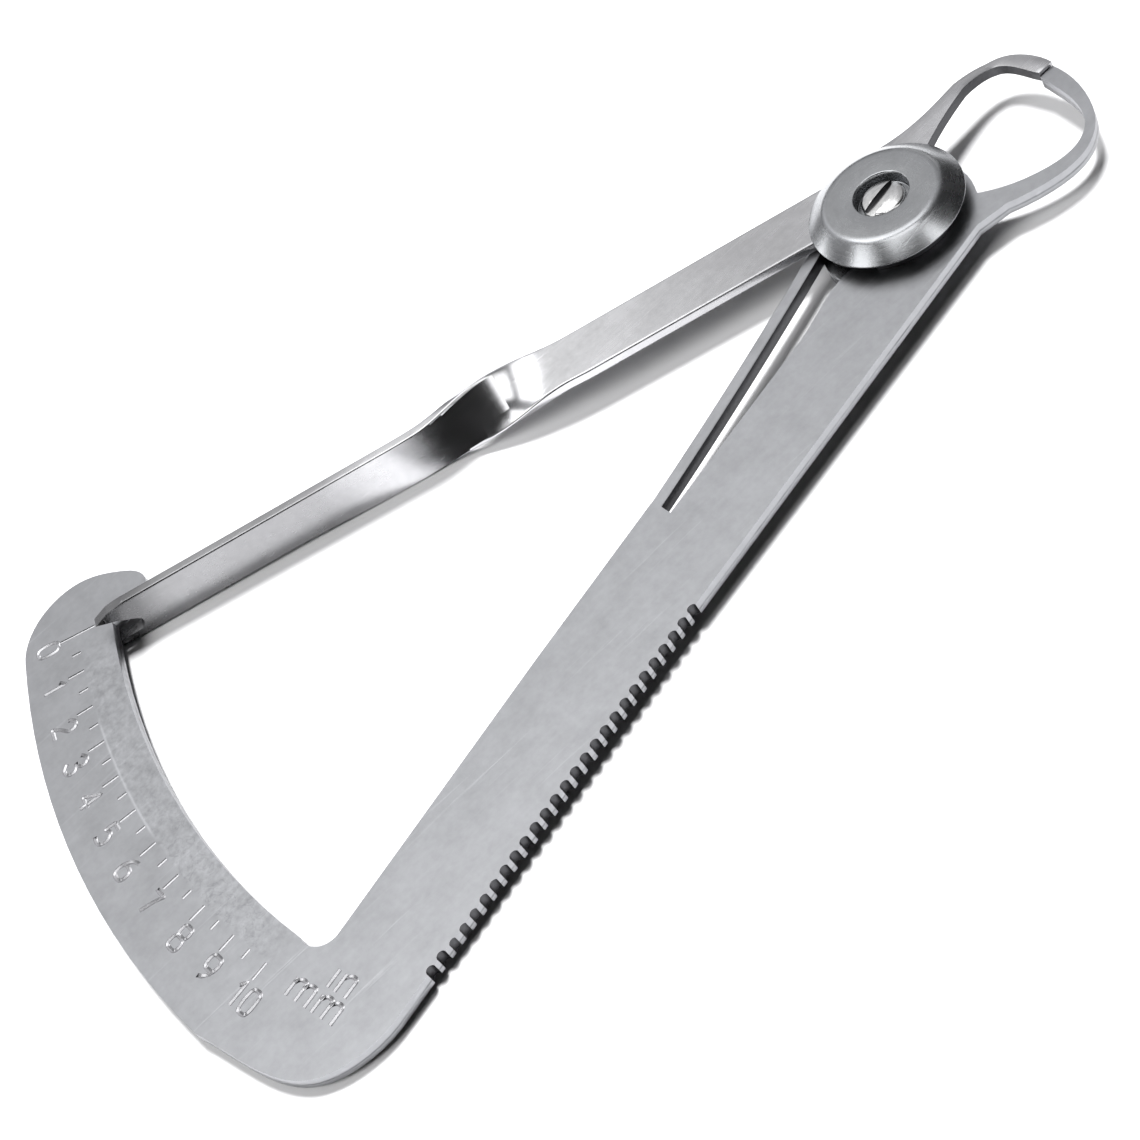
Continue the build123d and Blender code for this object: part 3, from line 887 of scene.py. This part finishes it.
# The bar's section at a distance along the arm: its middle, the ways across and above it, and its width.
def barSection(distance):
    turn = radians(90 * ease(distance, *pointer["turn"]))
    hump, spread = hill(distance, pointer["hump"]), hill(distance, pointer["spread"])
    drop = pointer["stripDrop"] * ease(distance, *pointer["stripSink"]) - pointer["hump"]["rise"] * hump
    drop += pointer["spread"]["drop"] * spread
    rootWidth, flatWidth = pointer["flatWidths"]
    width = rootWidth + (flatWidth - rootWidth) * min(distance / pointer["flat"][1], 1)
    width -= (flatWidth - pointer["twistWidth"]) * ease(distance, *pointer["twistNarrow"])
    narrower = (pointer["twistWidth"] - pointer["stripWidth"]) * ease(distance, *pointer["stripNarrow"])
    width -= narrower - pointer["spread"]["width"] * spread
    middle = armWay * distance + armSide * (pointer["offset"] + pointer["hump"]["shift"] * hump)
    origin = Vector((*middle, pointer["middle"] - drop))
    across = Vector((armSide.x * cos(turn), armSide.y * cos(turn), sin(turn)))
    return origin, across, armAxis.cross(across), width


# The section itself, with round corners and points across the wide faces.
def sectionPoints(width, thickness, corner):
    side, top = width / 2, thickness / 2
    points = []
    for sideSign, topSign, first in ((1, 1, 0), (-1, 1, 90), (-1, -1, 180), (1, -1, 270)):
        middleX, middleY = sideSign * (side - corner), topSign * (top - corner)
        for k in range(5):
            angle = radians(first + 22.5 * k)
            points.append((middleX + corner * cos(angle), middleY + corner * sin(angle)))
        if first in (0, 180):
            for share in (0.94, 0.5, 0, -0.5, -0.94):
                points.append((sideSign * share * (side - corner), topSign * top))
        else:
            points.append((sideSign * side, 0))
    return points


barRings = []
distance = pointer["flat"][0]
while distance <= pointer["stripEnd"] + 1e-6:
    origin, across, above, width = barSection(distance)
    thickness = pointer["thickness"] - pointer["rootThinner"] * (1 - ease(distance, *pointer["rootSpan"]))
    section = sectionPoints(width, thickness, pointer["corner"])
    barRings.append([(origin + across * a + above * b) * mm for a, b in section])
    distance += pointer["step"]
pointerBar = skinned("pointerBar", barRings, pointerSteel)

# fork: what the side view, as distance and height, cuts from the strip's end
stripTop = pointer["middle"] - pointer["stripDrop"] + pointer["stripWidth"] / 2
stripLow = stripTop - pointer["stripWidth"]
slotTop = pointer["plateHigh"] + pointer["slotPlay"]
slotLow = pointer["plateLow"] - pointer["slotPlay"]
slotEnd, lowEnd = pointer["forkSlotEnd"], pointer["lowerLipEnd"]
forkSide = [
    (pointer["forkStart"], stripTop + 1), (71.6, stripTop), (73.4, stripTop - 0.25),
    (pointer["forkTip"], pointer["plateHigh"] + pointer["upperLip"]), (73.3, slotTop + 0.75),
    (slotEnd + 0.5, slotTop), (slotEnd, slotTop - 0.4), (slotEnd, slotLow + 0.4), (slotEnd + 0.5, slotLow),
    (lowEnd, slotLow), (lowEnd, stripLow + 0.25), (lowEnd - 0.4, stripLow), (lowEnd - 0.4, stripLow - 1),
    (77, stripLow - 1), (77, stripTop + 1),
]


def onArm(along, side, height):
    return Vector((armWay.x * along + armSide.x * side, armWay.y * along + armSide.y * side, height)) * mm


forkRings = [
    [onArm(along, side, height) for along, height in forkSide]
    for side in (pointer["offset"] - 1.5, pointer["offset"] + 1.5)
]
cutAway(pointerBar, skinned("forkTool", forkRings, pointerSteel))


def edgeMiddle(edge):
    return (edge.verts[0].co.xy + edge.verts[1].co.xy) / 2 / mm


forkEdgeFrom, hubEdgeFrom = pointer["forkEdgeFrom"], pointer["hubEdgeFrom"]
bevel(pointerBar, pointer["forkEdge"], 2, lambda edge: edgeMiddle(edge).dot(armWay) < forkEdgeFrom, 35)

# hub and jaw come from the CAD node, cut off under the disc
shape = bmesh.new()
shape.from_mesh(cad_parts["pointer_lever"].data)
bmesh.ops.remove_doubles(shape, verts=shape.verts, dist=1e-6)
for vertex in shape.verts:
    if abs(vertex.co.xy.length - pointer["hubRadius"] * mm) < 0.03 * mm:
        vertex.co.xy *= pointer["hubSeen"] / pointer["hubRadius"]
bmesh.ops.bisect_plane(
    shape, geom=shape.verts[:] + shape.edges[:] + shape.faces[:],
    plane_co=armAxis * pointer["rootCut"] * mm, plane_no=armAxis, clear_outer=True,
)
bmesh.ops.holes_fill(shape, edges=[e for e in shape.edges if e.is_boundary], sides=0)
bmesh.ops.dissolve_limit(shape, angle_limit=radians(0.6), verts=shape.verts, edges=shape.edges)
pointerHub = pieceOf("pointerHub", shape, pointerSteel)
bevel(pointerHub, pointer["edge"], 3, lambda edge: edgeMiddle(edge).length < hubEdgeFrom)

shape = bmesh.new()
shape.from_mesh(pointerBar.data)
shape.from_mesh(pointerHub.data)
pointerMesh = bpy.data.meshes.new("pointerLeverBar")
shape.to_mesh(pointerMesh)
shape.free()
pointerMesh.materials.append(pointerSteel)
for old in (pointerBar, pointerHub):
    bpy.data.objects.remove(old)
pointerLever = newPiece("pointerLeverBar", pointerMesh)
hubWall = (pointer["hubSeen"] + 0.1) * mm
jawMiddle = Vector(metres(*pointer["jawMiddle"]))


# Walls that get painted shade: the hub's, under the disc, and those inside the jaw.
def isDarkWall(face):
    spot = face.center.xy
    if spot.length < hubWall:
        return abs(face.normal.z) < 0.8
    inwards = (jawMiddle - spot).normalized().dot(face.normal.xy)
    return spot.x > 5 * mm and abs(face.normal.z) < 0.6 and inwards > 0.4


paintFaces(pointerLever, paintedShadeSteel, isDarkWall)
shade(pointerLever, 30)


# The wide faces are a little hollow in the twist, so their shading turns later than their edges.
def hollowTwist(mesh):
    hollow = pointer["hollow"]
    normals = [(0, 0, 0)] * len(mesh.loops)
    for face in mesh.polygons:
        distance = (face.center.xy / mm).dot(armWay)
        if not hollow["up"][0] < distance < hollow["down"][1]:
            continue
        facing = face.normal.dot(barSection(distance)[2])
        if abs(facing) < 0.97:
            continue
        for loop in face.loop_indices:
            along = (mesh.vertices[mesh.loops[loop].vertex_index].co.xy / mm).dot(armWay)
            turn = Matrix.Rotation(radians(hollow["angle"] * hill(along, hollow)), 3, armAxis)
            above = turn @ barSection(along)[2]
            normals[loop] = tuple(above if facing > 0 else -above)
    mesh.normals_split_custom_set(normals)


hollowTwist(pointerLever.data)
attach(pointerLever, "pointer_body")
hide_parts("pointer_lever")
print("pointer lever:", len(pointerMesh.polygons), "faces")

# discs and screw: turned about the pivot, profiles as radius and height
frontDisc = {
    "radius": 6.62, "flat": 4.90, "bevel": 1.33, "low": 3.91, "high": 5.65, "hole": 2.35, "screw": 1.25,
    "seat": 4.47, "edge": 0.12, "ridge": 0.42, "underCut": 0.30,
}
disc = frontDisc
frontProfile = [
    (disc["screw"], disc["low"]), (disc["radius"] - disc["underCut"], disc["low"]),
    (disc["radius"], disc["low"] + disc["underCut"]), (disc["radius"], disc["high"] - disc["bevel"]),
    (disc["flat"], disc["high"], disc["ridge"]), (disc["hole"], disc["high"]),
    (disc["hole"], disc["seat"]), (disc["screw"], disc["seat"]),
]
frontPiece = lathe("frontDiscTurned", rounded(frontProfile, disc["edge"]), 144, discSteel)
wallTop = (disc["high"] - disc["bevel"] - 0.02) * mm


# painted shade on the disc's underside and on its rim wall below the bevel
def isUnderBevel(face):
    return face.normal.z < -0.3 or (face.center.xy.length > 6 * mm and face.center.z < wallTop)


paintFaces(frontPiece, paintedShadeSteel, isUnderBevel)
shade(frontPiece, 40)
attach(frontPiece, "scale_body")
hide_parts("front_disc")

rearDisc = {
    "radius": 6.62, "flat": 6.00, "bevel": 0.45, "high": 1.70, "screw": 1.25, "floor": 0.35, "edge": 0.10,
}
disc = rearDisc
rearProfile = [
    (0, 0), (disc["flat"], 0), (disc["radius"], disc["bevel"]), (disc["radius"], disc["high"]),
    (disc["screw"], disc["high"]), (disc["screw"], disc["floor"]), (0, disc["floor"]),
]
rearPiece = lathe("rearDiscTurned", rounded(rearProfile, disc["edge"], closed=False), 144, discSteel)
shade(rearPiece, 40)
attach(rearPiece, "scale_body")
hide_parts("rear_disc")

screw = {
    "shank": 1.25, "head": 1.88, "low": 0.35, "seat": 4.47, "high": 5.42, "edge": 0.08,
    "dome": 0.30, "domeAngles": (25, 45, 65, 80), "slotWidth": 1.05, "slotDepth": 0.44,
    "slotReach": 3, "slotAngle": 10, "slotEdge": 0.04, "slotEdgeFrom": 4.75,
}
rimHeight = screw["high"] - screw["dome"]
screwProfile = [
    (0, screw["low"]), (screw["shank"], screw["low"]), (screw["shank"], screw["seat"]),
    (screw["head"], screw["seat"]), (screw["head"], rimHeight),
]
for angle in screw["domeAngles"]:
    wide, up = cos(radians(angle)), sin(radians(angle))
    screwProfile.append((screw["head"] * wide, rimHeight + screw["dome"] * up))
screwProfile.append((0, screw["high"]))
screwPiece = lathe("pivotScrewHead", rounded(screwProfile, screw["edge"], closed=False), 96, screwSteel)
slotWay = Vector((cos(radians(screw["slotAngle"])), sin(radians(screw["slotAngle"])))) * screw["slotReach"]
slotSide = Vector((-slotWay.y, slotWay.x)).normalized() * screw["slotWidth"] / 2
slotBox = [tuple(slotWay * a + slotSide * b) for a, b in ((-1, -1), (1, -1), (1, 1), (-1, 1))]
slotTool = prism("slotTool", slotBox, screw["high"] - screw["slotDepth"], screw["high"] + 1, screwSteel)
# painted shade on the walls of the screw's slot
paintFaces(slotTool, paintedShadeSteel, lambda face: abs(face.normal.z) < 0.5)
cutAway(screwPiece, slotTool)
slotEdgeFrom = screw["slotEdgeFrom"] * mm
bevel(screwPiece, screw["slotEdge"], 2, lambda edge: min(v.co.z for v in edge.verts) < slotEdgeFrom, 40)
shade(screwPiece, 35)
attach(screwPiece, "scale_body")
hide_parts("pivot_screw")
print("discs and screw made")

# the pin and the bush keep their CAD shape
for node in ("spring_pin", "pivot_sleeve"):
    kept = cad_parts[node].data.materials
    for i in range(len(kept)):
        kept[i] = screwSteel
